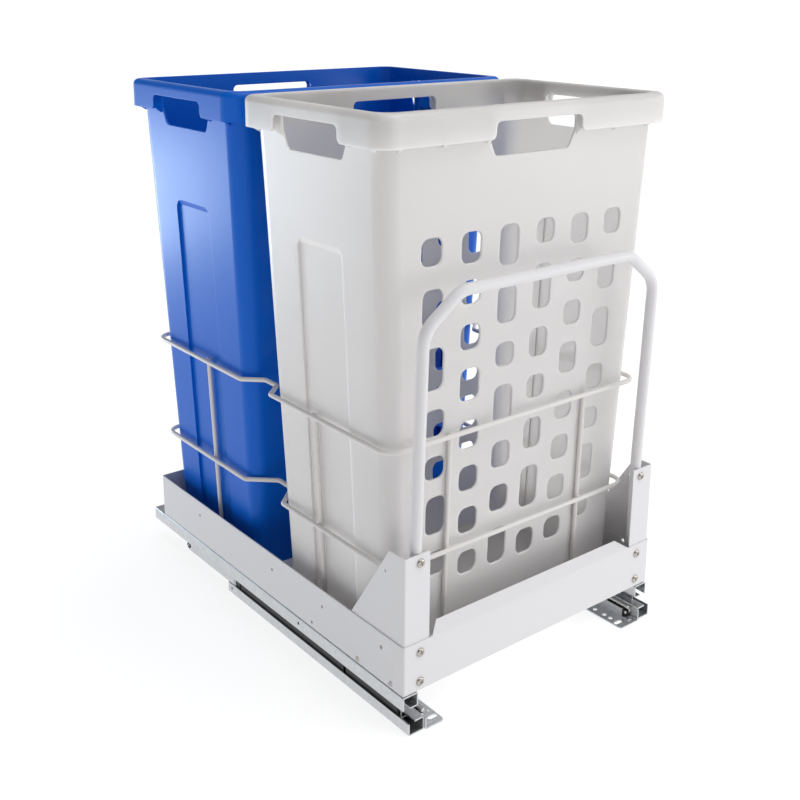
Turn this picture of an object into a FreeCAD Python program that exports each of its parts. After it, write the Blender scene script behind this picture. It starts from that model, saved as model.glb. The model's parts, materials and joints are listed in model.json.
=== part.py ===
import FreeCAD, Part
import math
import os

# Pull-out double laundry basket. All lengths are millimetres.
# Working frame: X = 0 is the middle plane, Y = 0 the front face of the tray, Z = 0 its underside.
# Side parts are drawn on the +X side with s = distance inward from the tray side, then mirrored.
V = FreeCAD.Vector
os.makedirs("parts", exist_ok=True)

# Tray
TRAY_HALF = 181.0
TRAY_DEPTH = 500.0
TRAY_HEIGHT = 54.4
TRAY_SHEET = 1.2
TRAY_BEND = 1.4
LIP_HALF_LOW = 146.5
LIP_HALF_HIGH = 132.4
LIP_RISE = 9.0
LIP_RUN = 9.6
LIP_ROOT = 4.0
LIP_FOLD = 2.0
TRAY_SIDE_HOLES = ((401.2, 36.7), (235.8, 35.5), (137.5, 35.2), (157.4, 7.4))
TRAY_SIDE_HOLE_R = 1.7
BRACKET_HOLE = (35.3, 38.9)
BRACKET_HOLE_R = 2.2

# Corner brackets and U handle
BRACKET_SHEET = 1.5
BRACKET_WIDTH = 33.0
BRACKET_TOP = 147.5
BRACKET_TOP_DEPTH = 23.7
BRACKET_FOOT_DEPTH = 86.3
HANDLE_R = 6.0
HANDLE_WALL = 1.2
HANDLE_S = 21.0
HANDLE_FOOT_Z = 8.0
HANDLE_BEND_Z = 158.0
HANDLE_SHOULDER_Z = 366.5
HANDLE_TOP_Z = 400.0
HANDLE_TOP_HALF = 117.0
HANDLE_LEAN = 0.0358
HANDLE_CORNER_R = 30.0
HANDLE_LEAN_R = 400.0
BRACKET_TOP_HOLE = (30.8, 124.2)
BRACKET_TOP_HOLE_R = 1.6
BOSS_Y = (40.0, 60.0)
BOSS_Z = 39.9
BOSS_R = 2.5
BOSS_H = 0.5

# Screws
SCREW_R = 2.4
SCREW_HEAD_R = 4.7
SCREW_HEAD_H = 2.4
SCREW_HEAD_ROUND = 1.8
SCREW_CROSS = 2.2
SCREW_CROSS_HALF = 0.45
SCREW_CROSS_DEEP = 1.2
SCREW_LENGTH = 8.6
SCREW_CLEARANCE = 0.1
PRESSED_FIT = 0.02
FLANGE_SCREW_Z = 138.2
FRONT_SCREW_Z = (43.0, 10.8)
FLAT_SCREW_R = 1.6
FLAT_SCREW_HEAD_R = 3.2
FLAT_SCREW_HEAD_H = 0.8
FLAT_SCREWS = ((75.3, 5.3), (20.6, 5.8))

# Guard wires round the baskets
RING_R = 2.6
UPRIGHT_R = 2.5
RING_BEND = 17.0
JOG_BEND = 6.0
RING_SIDE_GAP = 6.0
RING_END_GAP = 8.0
UPPER_RING = dict(z=242.5, mid=267.5, inner=11.5, outer=31.0, jog_s=24.6)
LOWER_RING = dict(z=117.5, mid=264.75, inner=13.0, outer=40.0, jog_s=38.7)
UPRIGHT_TOP_Z = 244.0
UPRIGHT_CAP = 3.0
SIDE_UPRIGHT_Y = (158.0, 380.0)
END_UPRIGHT_X = 96.0

# Baskets
BASKET_Y = (138.2, 391.3)
BASKET_FLOOR_Z = TRAY_SHEET
BASKET_WALL = 2.2
BASKET_FLOOR = 2.6
WALL_LOW = dict(z=BASKET_FLOOR_Z, half_x=160.3, half_y=93.8, corner=16.0)
WALL_HIGH = dict(z=562.4, half_x=185.4, half_y=109.58, corner=20.0)
RIM_HALF_X = 195.0
RIM_HALF_Y = 118.5
RIM_CORNER = 20.0
RIM_TOP = 562.4
RIM_LOW = 531.2
RIM_ROUND = 6.5
RECESS_HALF = 38.0
RECESS_DEEP = 2.8
RECESS_TOP = 428.0
RECESS_RAMP = 6.0
RECESS_CORNER = 11.0
SLOT_LOW = 513.7
SLOT_SHOULDER = 532.5
SLOT_TOP = 548.0
SLOT_SLOPE = 8.5
SLOT_LOW_R = 7.0
SLOT_TOP_R = 6.0
SLOT_FLARE = 6.0
SLOT_HALF_LONG = 58.5
SLOT_HALF_SHORT = 54.0
SLOT_SPLIT = 4.5
RIB = 2.0
RIB_DROP = 5.0
RIBS_LONG = (60.8, 115.8, 167.0)
RIBS_SHORT = (57.0, 97.0)
HOLE_WIDTH = 25.0
HOLE_CORNER = 8.5
HOLE_BEVEL = 1.0
HOLE_LEAN = 0.00046
HOLE_LEAN_Z = 430.0
OUTER_ROWS = ((444, 417), (394, 357), (335, 292), (271, 243), (221, 197), (177, 136), (116, 90))
MIDDLE_ROWS = ((444, 413), (396, 372), (351, 325), (305, 271), (249, 219), (199, 172), (152, 124), (102, 77))
LEFT_ROWS = ((445, 404), (383, 344), (323, 298), (277, 236), (215, 186), (165, 136), (115, 75))
RIGHT_ROWS = ((445, 420), (398, 351), (330, 299), (278, 253), (230, 196), (175, 128), (101, 73))
HOLE_COLUMNS = (
    (-124.4, OUTER_ROWS),
    (-74.7, MIDDLE_ROWS),
    (-24.9, LEFT_ROWS),
    (24.9, RIGHT_ROWS),
    (74.7, MIDDLE_ROWS),
    (124.4, OUTER_ROWS),
)

# Slide rails, all 1.5 mm galvanised steel
SHEET = 1.5
BEND = 0.6
ROLLER_D = 5.2
RUNNING = 0.05
CHANNEL = 2 * (ROLLER_D + 2 * RUNNING) + SHEET
TRAY_RAIL_LENGTH = 525.0
TRAY_RAIL_WEB = 19.0
TRAY_RAIL_FLANGE_S = 9.2
TRAY_RAIL_SKIRT = 14.8
MID_Y = (12.0, 442.0)
MID_WEB_S = 6.6
MID_UPPER_S = TRAY_RAIL_WEB - 3.0
RAIL_HEIGHT = 39.0
CABINET_Y = (-7.0, 338.0)
CABINET_OUTER_S = 1.4
CABINET_WEB_S = TRAY_RAIL_WEB + 2.0
CABINET_FLANGE_S = TRAY_RAIL_FLANGE_S
MID_LOWER_S = CABINET_WEB_S - 3.3
CABINET_WALL_TOP = -26.0
UPPER_HEAD_TOP = -SHEET - ROLLER_D - 2 * RUNNING
CABINET_FLOOR_TOP = -RAIL_HEIGHT + SHEET
LOWER_HEAD_LOW = CABINET_FLOOR_TOP + ROLLER_D + 2 * RUNNING
CABINET_FLANGE_TOP = CABINET_FLOOR_TOP + CHANNEL + SHEET

# Roller cages
ROLLER_LENGTH = 5.5
ROLLER_PITCH = 24.0
POCKET_GAP = 0.15
CAGE_THICK = 3.0
CAGE_SPINE = 0.7
CAGE_SPINE_GAP = 0.4
CAGE_WIDTH = 7.0
UPPER_SPINE_S = TRAY_RAIL_WEB - SHEET - CAGE_SPINE_GAP
LOWER_SPINE_S = CABINET_WEB_S - SHEET - CAGE_SPINE_GAP
UPPER_CAGE = dict(y=265.0, half=140.0, count=11, spine=UPPER_SPINE_S, level=UPPER_HEAD_TOP - SHEET / 2)
LOWER_CAGE = dict(y=210.0, half=110.0, count=9, spine=LOWER_SPINE_S, level=LOWER_HEAD_LOW + SHEET / 2)

# Rack and pinion that keeps the middle rail half way
MODULE = 0.6
PITCH = math.pi * MODULE
PINION_TEETH = 14
PINION_R = MODULE * PINION_TEETH / 2
PINION_Y = 308.0
PINION_Z = -14.4
ADDENDUM = MODULE
DEDENDUM = 0.78 * MODULE + 0.30
TOOTH_SHARE = 0.36
TIP_SHARE = 0.14
RACK_TEETH = 110
RACK_GAP = 0.02
RACK_S = (CABINET_OUTER_S + SHEET + BEND + RACK_GAP, MID_WEB_S - 0.95)
TRAY_RACK_S = (SHEET + BEND + RACK_GAP, MID_WEB_S - 1.1)
PINION_S = (MID_WEB_S - 4.05, MID_WEB_S - 0.8)
AXLE_PLAY = 0.05
AXLE_HEAD = 0.55
AXLE_R = 1.2
AXLE_HEAD_R = 2.0

# Parts at the ends of the rails
GUIDE_TOP = -17.0
GUIDE_Y = (14.0, 100.0)
REAR_STOP_Y = (314.0, 324.0)
BUMPER_Y = 446.5
BUMPER_Z = -24.8
BUMPER_R = 4.0
BUMPER_NECK_R = 3.0
BUMPER_PIN_R = 1.3
BUMPER_FLANGE = 0.45
BUMPER_TAB = 6.0
BUMPER_NOTCH = 1.8

# Foot brackets
FOOT_Y = (-9.0, 338.0)
FOOT_WIDTH = dict(left=46.0, right=51.0)
FOOT_HOLE_S = dict(left=39.0, right=43.8)
FOOT_HOLE_R = 2.65
FOOT_SLOT_LENGTH = 12.0
FOOT_SLOT_Y = 1.7
FOOT_FRONT_HOLE_Y = 36.6
FOOT_REAR_HOLE_Y = 292.6
FOOT_CORNER = 4.0
FOOT_LEAF_DROP = 2.0
RIGHT_FOOT_HOLES_Y = (12.8, 22.2)
LEFT_PILOT = dict(s=41.9, y=11.2, r=1.6)
RAIL_END_HOLE = dict(back=8.0, z=-31.5, r=1.6)
TRAY_RAIL_HOLE = dict(y=183.6, z=-6.8, r=1.8)
RIVET_R = 2.0
RIVET_HEAD_R = 3.2
RIVET_HEAD_H = 1.5
FOOT_RIVET_Y = (5.0, 165.0, 325.0)
FOOT_RIVET_Z = -31.0
TRAY_RIVET_S = 8.0
TRAY_RIVET_Y = (60.0, 250.0, 440.0)

# Soft-close units
UNIT_S = (24.5, 40.0)
UNIT_TOP = -20.0
UNIT_Y = (190.0, 330.0)
UNIT_SLOT = 4.8
UNIT_SLOT_Y = 306.0
UNIT_SLOT_LOW = -33.0
CATCH_PIN_Y = 298.0
CATCH_PIN_R = 2.0
CATCH_PIN_LOW = -25.0
CATCH_HALF = 6.0
CATCH_TOP = -25.4
CATCH_GAP = 0.35
CATCH_PLATE = (-8.0, 8.0)
CATCH_PLATE_GAP = 0.5

# Front run of the soft-close units: dark carrier, steel cover and two damper rods
CARRIER_S = (24.2, 31.2)
CARRIER_Y = (8.0, 190.0)
CARRIER_TOP = -27.5
COVER_Y = (6.5, 189.6)
COVER_LIP_Y = -4.0
COVER_SHEET = 1.0
COVER_TOP = -27.0
COVER_RIDGES_Z = (-34.0, -30.2)
COVER_RIDGE_R = 0.8
ROD_R = 2.0
ROD_NOSE = 1.2
ROD_UPPER = dict(s=26.4, z=CARRIER_TOP + ROD_R, front=1.5)
ROD_LOWER = dict(s=27.4, z=-32.5, front=3.5)
ROD_BACK_Y = 186.0
ROD_SOCKET = 0.02

made = {}


def box(x0, x1, y0, y1, z0, z1):
    return Part.makeBox(x1 - x0, y1 - y0, z1 - z0, V(x0, y0, z0))


def side_box(s0, s1, y0, y1, z0, z1):
    return box(TRAY_HALF - s1, TRAY_HALF - s0, y0, y1, z0, z1)


def rod(x, y, z, r, length, axis):
    return Part.makeCylinder(r, length, V(x, y, z), axis)


def side_rod(s0, s1, y, z, r):
    return rod(TRAY_HALF - s1, y, z, r, s1 - s0, V(1, 0, 0))


def mirrored(shape):
    return shape.mirror(V(0, 0, 0), V(1, 0, 0))


def joined(shapes):
    first = shapes[0]
    return first.fuse(shapes[1:]).removeSplitter() if len(shapes) > 1 else first


def group(shapes):
    return Part.makeCompound(shapes)


def keep(node, shape):
    made[node] = shape


def keep_pair(name, shape):
    keep("right_" + name, shape)
    keep("left_" + name, mirrored(shape))


def centre_path(points, radii):
    """Points of a bent line with an arc at each inner corner: list of (kind, points)."""
    pieces = []
    start = points[0]
    for before, corner, after, r in zip(points, points[1:], points[2:], radii):
        a = (before - corner).normalize()
        b = (after - corner).normalize()
        half = a.getAngle(b) / 2
        reach = r / math.tan(half)
        middle = corner + (a + b).normalize() * (r / math.sin(half))
        first = corner + a * reach
        last = corner + b * reach
        top = middle + (corner - middle).normalize() * r
        pieces.append(("line", start, first))
        pieces.append(("arc", first, top, last, middle))
        start = last
    pieces.append(("line", start, points[-1]))
    return pieces


def bent_wire(points, radii):
    edges = []
    for piece in centre_path(points, radii):
        if piece[0] == "line":
            edges.append(Part.makeLine(piece[1], piece[2]))
        else:
            edges.append(Part.Arc(piece[1], piece[2], piece[3]).toShape())
    return Part.Wire(edges)


def swept(points, radii, r):
    path = bent_wire(points, radii)
    start = path.Edges[0].Vertexes[0].Point
    along = path.Edges[0].tangentAt(path.Edges[0].FirstParameter)
    profile = Part.Wire(Part.Circle(start, along, r).toShape())
    return path.makePipeShell([profile], True, False)


def folded(points, sheet, bend, y0, y1):
    """Sheet-metal section: centre line points (s, z), thickness and inner bend radius."""
    flat = [V(TRAY_HALF - s, 0, z) for s, z in points]
    middle_r = bend + sheet / 2
    one_side, other_side = [], []
    for piece in centre_path(flat, [middle_r] * (len(flat) - 2)):
        if piece[0] == "line":
            along = (piece[2] - piece[1]).normalize()
            out = V(-along.z, 0, along.x) * (sheet / 2)
            one_side.append(("line", piece[1] + out, piece[2] + out))
            other_side.append(("line", piece[1] - out, piece[2] - out))
            last_out = out
        else:
            centre = piece[4]
            spokes = [(p - centre).normalize() for p in piece[1:4]]
            outward = 1 if spokes[0].dot(last_out) > 0 else -1
            near = middle_r + outward * sheet / 2
            far = middle_r - outward * sheet / 2
            one_side.append(("arc",) + tuple(centre + k * near for k in spokes))
            other_side.append(("arc",) + tuple(centre + k * far for k in spokes))
    edges = []
    for side in (one_side, other_side):
        for piece in side:
            if piece[0] == "line":
                edges.append(Part.makeLine(piece[1], piece[2]))
            else:
                edges.append(Part.Arc(piece[1], piece[2], piece[3]).toShape())
    edges.append(Part.makeLine(one_side[0][1], other_side[0][1]))
    edges.append(Part.makeLine(one_side[-1][-1], other_side[-1][-1]))
    outline = Part.Wire(Part.__sortEdges__(edges))
    section = Part.Face(outline)
    section.translate(V(0, y0, 0))
    return section.extrude(V(0, y1 - y0, 0))


def prism(points, along):
    return Part.Face(Part.makePolygon(list(points) + [points[0]])).extrude(along)


def rounded_outline(half_x, half_y, r, z):
    edges = []
    corners = ((1, 1), (-1, 1), (-1, -1), (1, -1))
    for k, (sx, sy) in enumerate(corners):
        c = V(sx * (half_x - r), sy * (half_y - r), z)
        start = math.radians(90 * k)
        ray = [V(math.cos(start + t), math.sin(start + t), 0) for t in (0, math.pi / 4, math.pi / 2)]
        edges.append(Part.Arc(c + ray[0] * r, c + ray[1] * r, c + ray[2] * r).toShape())
    lines = []
    for k in range(4):
        lines.append(Part.makeLine(edges[k].Vertexes[1].Point, edges[(k + 1) % 4].Vertexes[0].Point))
    ordered = [e for pair in zip(edges, lines) for e in pair]
    return Part.Wire(ordered)


def at_height(name, z):
    t = (z - WALL_LOW["z"]) / (WALL_HIGH["z"] - WALL_LOW["z"])
    return WALL_LOW[name] + t * (WALL_HIGH[name] - WALL_LOW[name])


def wall_block(inset, z0, z1):
    """Tapered block of the basket wall, moved inward by inset."""
    outlines = []
    for z in (z0, z1):
        outlines.append(rounded_outline(
            at_height("half_x", z) - inset, at_height("half_y", z) - inset,
            at_height("corner", z) - inset, z))
    return Part.makeLoft(outlines, True, True)


def tray():
    outer = box(-TRAY_HALF, TRAY_HALF, 0, TRAY_DEPTH, 0, TRAY_HEIGHT)
    low = [e for e in outer.Edges if e.BoundBox.ZMax < 0.01]
    upright = [e for e in outer.Edges if e.BoundBox.ZLength > 1]
    outer = outer.makeFillet(TRAY_BEND + TRAY_SHEET, low + upright)
    inner = box(-TRAY_HALF + TRAY_SHEET, TRAY_HALF - TRAY_SHEET, TRAY_SHEET, TRAY_DEPTH - TRAY_SHEET,
                TRAY_SHEET, TRAY_HEIGHT + 1)
    low = [e for e in inner.Edges if e.BoundBox.ZMax < TRAY_SHEET + 0.01]
    upright = [e for e in inner.Edges if e.BoundBox.ZLength > 1]
    inner = inner.makeFillet(TRAY_BEND, low + upright)
    shape = joined([outer.cut(inner), tray_lip()])
    cuts = []
    for y, z in TRAY_SIDE_HOLES:
        cuts.append(side_rod(-1, TRAY_SHEET + 0.1, y, z, TRAY_SIDE_HOLE_R))
    cuts.append(side_rod(-1, TRAY_SHEET + 0.1, *BRACKET_HOLE, BRACKET_HOLE_R))
    for y, z in FLAT_SCREWS:
        cuts.append(side_rod(-1, TRAY_SHEET + 0.1, y, z, FLAT_SCREW_R + SCREW_CLEARANCE))
    for y in TRAY_RIVET_Y:
        cuts.append(rod(TRAY_HALF - TRAY_RIVET_S, y, -1, RIVET_R + PRESSED_FIT, 4, V(0, 0, 1)))
    for z in FRONT_SCREW_Z:
        cuts.append(rod(TRAY_HALF - HANDLE_S, -1, z, SCREW_R + SCREW_CLEARANCE, 3, V(0, 1, 0)))
    cuts += [mirrored(c) for c in cuts]
    return shape.cut(cuts)


def tray_lip():
    """Front edge of the tray folded inward and up, with mitred ends."""
    angle = math.atan2(LIP_RISE, LIP_RUN)
    middle = TRAY_SHEET / 2
    slope = V(0, math.cos(angle), math.sin(angle))
    root = V(0, middle, TRAY_HEIGHT - LIP_ROOT)
    fold = V(0, middle, TRAY_HEIGHT)
    edge = fold + slope * math.hypot(LIP_RISE, LIP_RUN)
    out = V(0, -middle, 0)
    tilted = V(0, -math.sin(angle), math.cos(angle)) * middle
    corner = V(0, -middle, middle * math.tan((math.pi / 2 - angle) / 2))
    outline = [root + out, fold + corner, edge + tilted, edge - tilted, fold - corner, root - out]
    lip = prism([p + V(-LIP_HALF_LOW, 0, 0) for p in outline], V(2 * LIP_HALF_LOW, 0, 0))
    bends = [e for e in lip.Edges if e.BoundBox.XLength > 100
             and abs(e.BoundBox.ZMin - (fold + corner).z) < 0.3 and e.BoundBox.YMin < 0.1]
    lip = lip.makeFillet(LIP_FOLD, bends)
    for sign in (1, -1):
        wedge = [V(sign * LIP_HALF_LOW, -1, 0), V(sign * LIP_HALF_HIGH, LIP_RUN, 0),
                 V(sign * LIP_HALF_HIGH, LIP_RUN + 8, 0), V(sign * (LIP_HALF_LOW + 20), LIP_RUN + 8, 0)]
        lip = lip.cut(prism([p + V(0, 0, TRAY_HEIGHT + 0.2) for p in wedge], V(0, 0, 30)))
    return lip


def corner_bracket():
    """Front flange and gusset side plate folded from one sheet."""
    t = BRACKET_SHEET
    y0 = TRAY_SHEET
    x1 = TRAY_HALF - TRAY_SHEET
    x0 = TRAY_HALF - BRACKET_WIDTH
    flange = box(x0, x1, y0, y0 + t, TRAY_SHEET + TRAY_BEND, BRACKET_TOP)
    outline = [V(x1 - t, y0, TRAY_SHEET + TRAY_BEND), V(x1 - t, BRACKET_FOOT_DEPTH, TRAY_SHEET + TRAY_BEND),
               V(x1 - t, BRACKET_FOOT_DEPTH, TRAY_HEIGHT), V(x1 - t, BRACKET_TOP_DEPTH + y0, BRACKET_TOP),
               V(x1 - t, y0, BRACKET_TOP)]
    plate = prism(outline, V(t, 0, 0))
    shape = joined([flange, plate])
    outer_corner = [e for e in shape.Edges if e.BoundBox.ZLength > 100
                    and e.BoundBox.XMin > x1 - 0.01 and e.BoundBox.YMax < y0 + 0.01]
    shape = shape.makeFillet(BEND + t, outer_corner)
    cuts = [side_rod(1, 4, *BRACKET_TOP_HOLE, BRACKET_TOP_HOLE_R)]
    cuts.append(side_rod(1, 4, *BRACKET_HOLE, BRACKET_HOLE_R))
    for y, z in FLAT_SCREWS:
        cuts.append(side_rod(1, 4, y, z, FLAT_SCREW_R + PRESSED_FIT))
    for z in (FLANGE_SCREW_Z,) + FRONT_SCREW_Z:
        cuts.append(rod(TRAY_HALF - HANDLE_S, 0, z, SCREW_R + SCREW_CLEARANCE, 4, V(0, 1, 0)))
    face = TRAY_SHEET + t
    boss = [side_box(face - 0.1, face + BOSS_H, BOSS_Y[0], BOSS_Y[1], BOSS_Z - BOSS_R, BOSS_Z + BOSS_R)]
    boss += [side_rod(face - 0.1, face + BOSS_H, y, BOSS_Z, BOSS_R) for y in BOSS_Y]
    return joined([shape] + boss).cut(cuts)


def handle_points():
    """Centre line of the U handle: upright to the bracket top, then leaning forward."""
    x = TRAY_HALF - HANDLE_S
    y = TRAY_SHEET + BRACKET_SHEET + HANDLE_R
    leaned = [y - HANDLE_LEAN * (z - HANDLE_BEND_Z) for z in (HANDLE_SHOULDER_Z, HANDLE_TOP_Z)]
    half = [V(x, y, HANDLE_FOOT_Z), V(x, y, HANDLE_BEND_Z), V(x, leaned[0], HANDLE_SHOULDER_Z),
            V(HANDLE_TOP_HALF, leaned[1], HANDLE_TOP_Z)]
    return half + [V(-p.x, p.y, p.z) for p in reversed(half)]


def handle():
    points = handle_points()
    radii = [HANDLE_LEAN_R] + [HANDLE_CORNER_R] * 4 + [HANDLE_LEAN_R]
    tube = swept(points, radii, HANDLE_R).cut(swept(points, radii, HANDLE_R - HANDLE_WALL))
    y = TRAY_SHEET + BRACKET_SHEET
    cuts = []
    for z in (FLANGE_SCREW_Z,) + FRONT_SCREW_Z:
        for x in (TRAY_HALF - HANDLE_S, HANDLE_S - TRAY_HALF):
            cuts.append(rod(x, y - 1, z, SCREW_R + PRESSED_FIT, HANDLE_R, V(0, 1, 0)))
    return tube.cut(cuts)


def pan_screw(x, face_y, z):
    """Pan-head screw entering along +Y from the given face, with a cross recess."""
    shank = rod(x, face_y, z, SCREW_R, SCREW_LENGTH, V(0, 1, 0))
    top = face_y - SCREW_HEAD_H
    head = rod(x, top, z, SCREW_HEAD_R, SCREW_HEAD_H, V(0, 1, 0))
    rim = [e for e in head.Edges if e.BoundBox.YMax < top + 0.01]
    head = head.makeFillet(SCREW_HEAD_ROUND, rim)
    long, thin = SCREW_CROSS, SCREW_CROSS_HALF
    floor = face_y - SCREW_CROSS_DEEP
    arms = [box(x - a, x + a, top - 1, floor, z - b, z + b) for a, b in ((long, thin), (thin, long))]
    return joined([shank, head]).cut(arms)


def flat_screw(y, z):
    shank = side_rod(0, 4.2, y, z, FLAT_SCREW_R)
    head = side_rod(-FLAT_SCREW_HEAD_H, 0, y, z, FLAT_SCREW_HEAD_R)
    edge = [e for e in head.Edges if e.BoundBox.XMin > TRAY_HALF + FLAT_SCREW_HEAD_H - 0.01]
    return joined([shank, head.makeFillet(0.5, edge)])


def guard_ring(z, mid, inner, outer, jog_s):
    """Closed wire round both baskets with a jog into the gap between them on each side."""
    side = at_height("half_x", z) + RING_SIDE_GAP
    front = BASKET_Y[0] - at_height("half_y", z) - RING_END_GAP
    rear = BASKET_Y[1] + at_height("half_y", z) + RING_END_GAP
    jog = TRAY_HALF - jog_s
    right = [V(side, front, z), V(side, mid - outer, z), V(jog, mid - inner, z),
             V(jog, mid + inner, z), V(side, mid + outer, z), V(side, rear, z)]
    left = [V(-p.x, p.y, z) for p in reversed(right)]
    corner_radii = [RING_BEND] + [JOG_BEND] * 4 + [RING_BEND]
    points = [V(0, front, z)] + right + left + [V(0, front, z)]
    wire = bent_wire(points, corner_radii + corner_radii)
    start = V(0, front, z)
    profile = Part.Wire(Part.Circle(start, V(1, 0, 0), RING_R).toShape())
    return wire.makePipeShell([profile], True, False)


def uprights():
    """Wires inside both rings, following the taper of the baskets down to the tray floor."""
    inside = RING_R + UPRIGHT_R
    low, high = TRAY_SHEET, UPRIGHT_TOP_Z
    bars = []
    for x in (-END_UPRIGHT_X, END_UPRIGHT_X):
        for sign, centre in ((-1, BASKET_Y[0]), (1, BASKET_Y[1])):
            reach = [at_height("half_y", z) + RING_END_GAP - inside for z in (low, high)]
            ends = [V(x, centre + sign * r, z) for r, z in zip(reach, (low, high))]
            bars.append(standing_bar(ends[0], ends[1]))
    for y in SIDE_UPRIGHT_Y:
        for sign in (-1, 1):
            ends = [V(sign * (at_height("half_x", z) + RING_SIDE_GAP - inside), y, z) for z in (low, high)]
            bars.append(standing_bar(ends[0], ends[1]))
    return group(bars)


def standing_bar(foot, top):
    along = top - foot
    start = foot - along.normalize() * UPRIGHT_CAP
    bar = Part.makeCylinder(UPRIGHT_R, (top - foot).Length + UPRIGHT_CAP, start, top - foot)
    r = 10
    return bar.cut(box(foot.x - r, foot.x + r, foot.y - r, foot.y + r, foot.z - r, foot.z))


def recess_tool(inset, sign):
    """Block that presses the shallow panel into a narrow wall, with rounded upper corners."""
    half = RECESS_HALF + inset
    low = BASKET_FLOOR_Z - 5
    ramp_foot = RECESS_TOP - RECESS_RAMP
    top = RECESS_TOP + inset * 0.4
    deep = [V(sign * (at_height("half_x", z) - RECESS_DEEP - inset), -half, z) for z in (low, ramp_foot)]
    wall = V(sign * (at_height("half_x", top) - inset), -half, top)
    beyond = sign * (at_height("half_x", top) + 20)
    out = [V(beyond, -half, top), V(beyond, -half, low)]
    block = prism(deep + [wall] + out, V(0, 2 * half, 0))
    r = RECESS_CORNER
    corners = []
    for side in (-1, 1):
        y0, y1 = sorted((side * (half - r), side * (half + 1)))
        square = box(100, 270, y0, y1, top - r, top + 1)
        square = square.cut(rod(99, side * (half - r), top - r, r, 172, V(1, 0, 0)))
        corners.append(square if sign > 0 else mirrored(square))
    return block.cut(corners)


def wall_frame(shape, sign):
    """Move a tool drawn on the plane y = 0 (outside toward -Y) onto a long wall."""
    z0 = WALL_LOW["z"]
    z1 = WALL_HIGH["z"]
    tilt = math.degrees(math.atan2(WALL_HIGH["half_y"] - WALL_LOW["half_y"], z1 - z0))
    shape.rotate(V(0, 0, z0), V(1, 0, 0), tilt)
    shape.translate(V(0, -WALL_LOW["half_y"], 0))
    if sign > 0:
        shape = shape.mirror(V(0, 0, 0), V(0, 1, 0))
    return shape


def hole_tool(x, top, low):
    """One rounded opening with a bevelled outer edge, drawn on the plane y = 0."""
    height = top - low
    middle = (top + low) / 2

    def outline(grow, y):
        wire = rounded_outline(HOLE_WIDTH / 2 + grow, height / 2 + grow, HOLE_CORNER + grow, 0)
        wire.rotate(V(0, 0, 0), V(1, 0, 0), 90)
        wire.translate(V(x, y, middle))
        return wire

    straight = Part.Face(outline(0, -1)).extrude(V(0, 6, 0))
    bevel = Part.makeLoft([outline(2 * HOLE_BEVEL, -HOLE_BEVEL), outline(0, HOLE_BEVEL)], True, True)
    return straight.fuse(bevel)


def hole_tools():
    tools = []
    for sign in (-1, 1):
        for column_x, rows in HOLE_COLUMNS:
            for top, low in rows:
                z = (top + low) / 2
                x = column_x * (1 - HOLE_LEAN * (HOLE_LEAN_Z - z))
                tools.append(wall_frame(hole_tool(x, top, low), sign))
    return tools


def rounded_prism(outline, along, corners):
    """Prism of an outline whose lengthwise edges at the given places are rounded."""
    shape = prism(outline, along)
    for place, r in corners:
        lengthwise = [e for e in shape.Edges if abs(e.Length - along.Length) < 0.01]
        at_place = [e for e in lengthwise if any((v.Point - place).Length < 0.01 for v in e.Vertexes)]
        shape = shape.makeFillet(r, at_place)
    return shape


def wall_slot(half, split):
    """Hand slot through both opposite walls: narrower below, drawn along Y."""
    low = half - SLOT_SLOPE
    outline = [V(-low, -split, SLOT_LOW), V(low, -split, SLOT_LOW), V(half, -split, SLOT_SHOULDER),
               V(half, -split, SLOT_TOP), V(-half, -split, SLOT_TOP), V(-half, -split, SLOT_SHOULDER)]
    corners = [(outline[k], SLOT_LOW_R) for k in (0, 1)] + [(outline[k], SLOT_TOP_R) for k in (3, 4)]
    return rounded_prism(outline, V(0, 2 * split, 0), corners)


def skirt_slot(half, split):
    """Notch through the hanging rim over the slot, flared where it meets the lower edge."""
    along = V(0, 20, 0)
    wide = half + SLOT_FLARE
    bottom = RIM_LOW - 1
    flare_z = RIM_LOW + SLOT_FLARE
    corners = ((-half, bottom), (half, bottom), (half, SLOT_TOP), (-half, SLOT_TOP))
    outline = [V(x, split, z) for x, z in corners]
    notch = rounded_prism(outline, along, [(outline[k], SLOT_TOP_R) for k in (2, 3)])
    flares = []
    for sign in (-1, 1):
        x0, x1 = sorted((sign * (half - 1), sign * wide))
        corner = box(x0, x1, split, split + 20, bottom, flare_z)
        flares.append(corner.cut(rod(sign * wide, split - 1, flare_z, SLOT_FLARE, 22, V(0, 1, 0))))
    return joined([notch] + flares)


def slot_tools(half, wall_half, turned):
    split = wall_half + SLOT_SPLIT
    outer = skirt_slot(half, split)
    tools = [wall_slot(half, split), outer, outer.mirror(V(0, 0, 0), V(0, 1, 0))]
    if turned:
        for tool in tools:
            tool.rotate(V(0, 0, 0), V(0, 0, 1), 90)
    return tools


def rib_outline(wall, rim):
    """Corners of a rib as (distance from the middle, height), inside the rounded rim."""
    top = RIM_TOP - BASKET_WALL / 2
    shoulder = (rim, RIM_TOP - RIM_ROUND)
    return ((wall, RIM_LOW - RIB_DROP), (rim, RIM_LOW + 1), shoulder, (rim - RIM_ROUND + 1, top), (wall, top))


def rim_ribs():
    """Small ribs between the wall and the hanging rim."""
    ribs = []
    for sign in (-1, 1):
        long_side = rib_outline(at_height("half_y", RIM_LOW) - 1.0, RIM_HALF_Y - BASKET_WALL + 0.6)
        short_side = rib_outline(at_height("half_x", RIM_LOW) - 1.0, RIM_HALF_X - BASKET_WALL + 0.6)
        for side in (-1, 1):
            for x in RIBS_LONG:
                ribs.append(prism([V(side * x - RIB / 2, sign * d, z) for d, z in long_side], V(RIB, 0, 0)))
            for y in RIBS_SHORT:
                ribs.append(prism([V(sign * d, side * y - RIB / 2, z) for d, z in short_side], V(0, RIB, 0)))
    return ribs


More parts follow.
